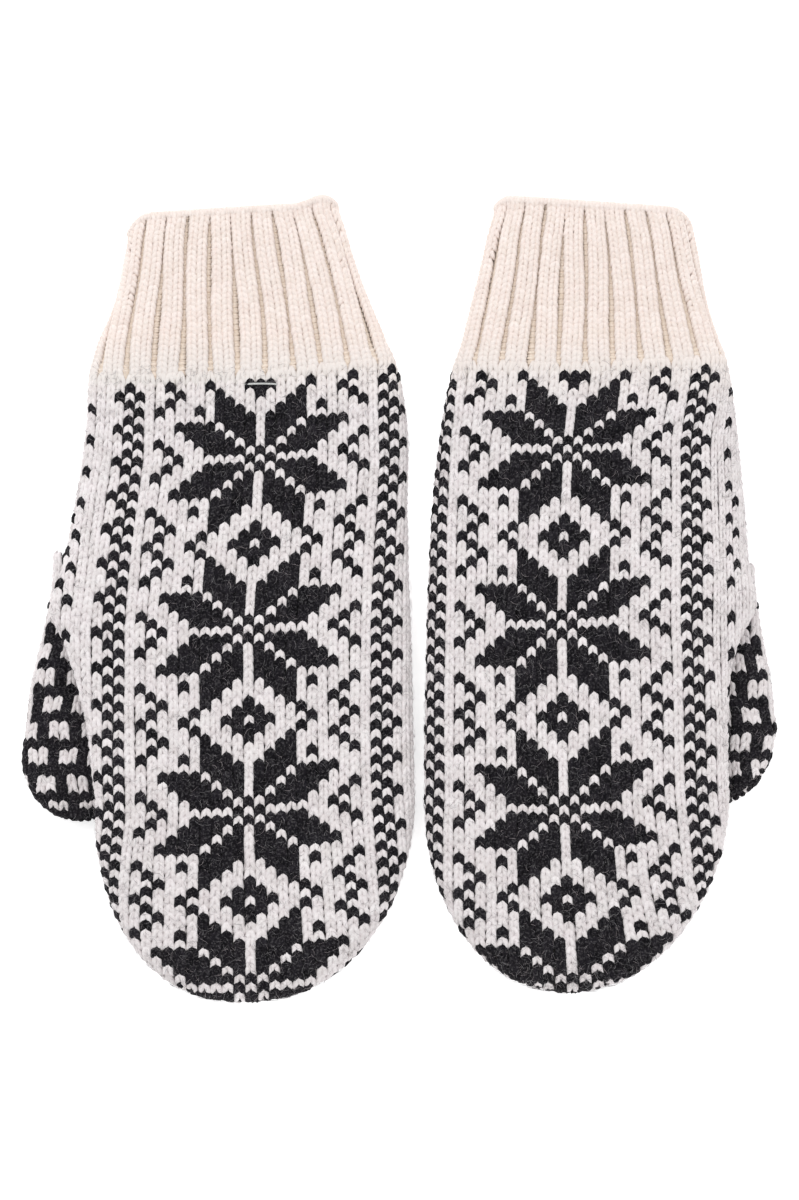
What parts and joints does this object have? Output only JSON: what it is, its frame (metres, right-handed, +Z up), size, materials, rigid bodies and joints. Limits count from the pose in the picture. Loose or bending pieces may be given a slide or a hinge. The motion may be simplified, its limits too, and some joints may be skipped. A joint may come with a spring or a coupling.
{
  "type": "knitted mittens",
  "caption": "Pair of stranded colourwork wool mittens with ribbed cuffs and separate thumbs, lying flat with the backs of the hands up.",
  "frame": {"origin": "centre of the pair's footprint, on the surface they lie on", "axes": "+X from the left mitten to the right one, +Y from the fingertips to the cuffs, +Z up out of the backs of the hands"},
  "size_m": [0.2516, 0.2699, 0.0222],
  "materials": {
    "ivory_wool": "matt ribbed knit, slightly hairy",
    "cream_wool": "matt stranded knit, slightly hairy",
    "black_wool": "matt stranded knit, heathered charcoal",
    "label_tape": "plain woven tape",
    "tack_thread": "thin sewing thread"
  },
  "bodies": {
    "left_hand_body": {"left_hand": "cream_wool", "left_tip_closure": "cream_wool", "left_label": "label_tape", "left_label_stitches": "tack_thread"},
    "left_cuff_body": {"left_cuff": "ivory_wool", "left_cuff_edge": "ivory_wool", "left_yarn_end": "ivory_wool"},
    "left_thumb_body": {"left_thumb_round": "black_wool", "left_thumb": "black_wool", "left_thumb_closure": "black_wool"},
    "right_hand_body": {"right_hand": "cream_wool", "right_tip_closure": "cream_wool"},
    "right_cuff_body": {"right_cuff": "ivory_wool", "right_cuff_edge": "ivory_wool", "right_yarn_end": "ivory_wool"},
    "right_thumb_body": {"right_thumb_round": "black_wool", "right_thumb": "black_wool", "right_thumb_closure": "black_wool"}
  },
  "joints": [
    {"name": "left_cuff_fold", "type": "hinge", "parent": "left_hand_body", "child": "left_cuff_body", "pos_m": [-0.055, 0.084, 0.008], "axis": [1, 0, 0], "range_deg": [0, 60]},
    {"name": "left_thumb_swing", "type": "hinge", "parent": "left_hand_body", "child": "left_thumb_body", "pos_m": [-0.0985, -0.002, 0.005], "axis": [0, 0, -1], "range_deg": [-6, 40]},
    {"name": "pair_spread", "type": "slide", "parent": "left_hand_body", "child": "right_hand_body", "axis": [1, 0, 0], "range_m": [0, 0.1]},
    {"name": "right_cuff_fold", "type": "hinge", "parent": "right_hand_body", "child": "right_cuff_body", "pos_m": [0.055, 0.084, 0.008], "axis": [1, 0, 0], "range_deg": [0, 60]},
    {"name": "right_thumb_swing", "type": "hinge", "parent": "right_hand_body", "child": "right_thumb_body", "pos_m": [0.101, -0.002, 0.005], "axis": [0, 0, 1], "range_deg": [-6, 40]}
  ]
}
